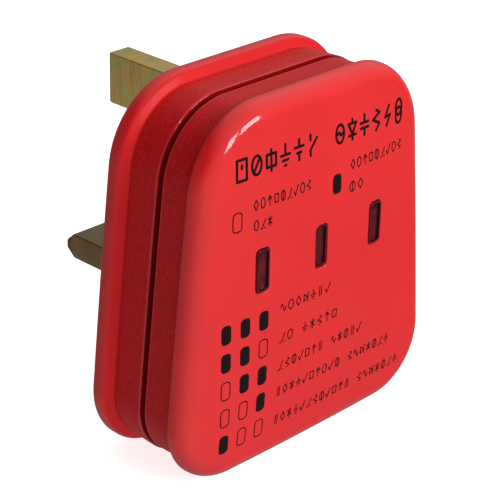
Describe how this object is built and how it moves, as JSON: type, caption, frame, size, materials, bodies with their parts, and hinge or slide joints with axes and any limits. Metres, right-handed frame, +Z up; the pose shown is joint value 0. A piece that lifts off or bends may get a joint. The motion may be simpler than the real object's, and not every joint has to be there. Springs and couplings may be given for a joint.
{
  "type": "outlet tester plug",
  "caption": "Hand-sized three-pin wall-socket tester: rounded two-shell case with a finger-grip waist, rectangular pins behind and slot windows over indicator lamps in front.",
  "frame": {"origin": "on the mating face, at the centre of the three-pin pattern: half-way between the earth pin's axis and the line/neutral row", "axes": "+Y out of the mating face along the pins, into the wall; +Z up, towards the earth pin; +X to the live side, which is the reader's right when facing the label"},
  "size_m": [0.0518, 0.0429, 0.0558],
  "materials": {
    "case_red": "glossy moulded thermoset, very fine moulding waviness",
    "pin_brass": "drawn brass, satin, slightly dulled",
    "lens_red": "dark red translucent acrylic",
    "shroud_black": "matt black moulded",
    "board_laminate": "paper-phenolic laminate",
    "solder": "bright tin solder",
    "screw_steel": "zinc-plated steel",
    "label_ink": "black pad-printed ink",
    "lamp_glass": "clear glass",
    "lead_wire": "tinned wire and nickel electrodes",
    "resistor_lacquer": "cream lacquer"
  },
  "bodies": {
    "root": {"back_shell": "case_red", "front_shell": "case_red", "earth_pin": "pin_brass", "live_pin": "pin_brass", "neutral_pin": "pin_brass", "lamp_shroud": "shroud_black", "circuit_board": "board_laminate", "solder_joints": "solder", "case_screws": "screw_steel", "board_screws": "screw_steel", "window_lens_left": "lens_red", "lamp_glass_left": "lamp_glass", "lamp_leads_left": "lead_wire", "resistor_body_left": "resistor_lacquer", "resistor_leads_left": "lead_wire", "window_lens_middle": "lens_red", "lamp_glass_middle": "lamp_glass", "lamp_leads_middle": "lead_wire", "resistor_body_middle": "resistor_lacquer", "resistor_leads_middle": "lead_wire", "window_lens_right": "lens_red", "lamp_glass_right": "lamp_glass", "lamp_leads_right": "lead_wire", "resistor_body_right": "resistor_lacquer", "resistor_leads_right": "lead_wire"}
  },
  "joints": []
}
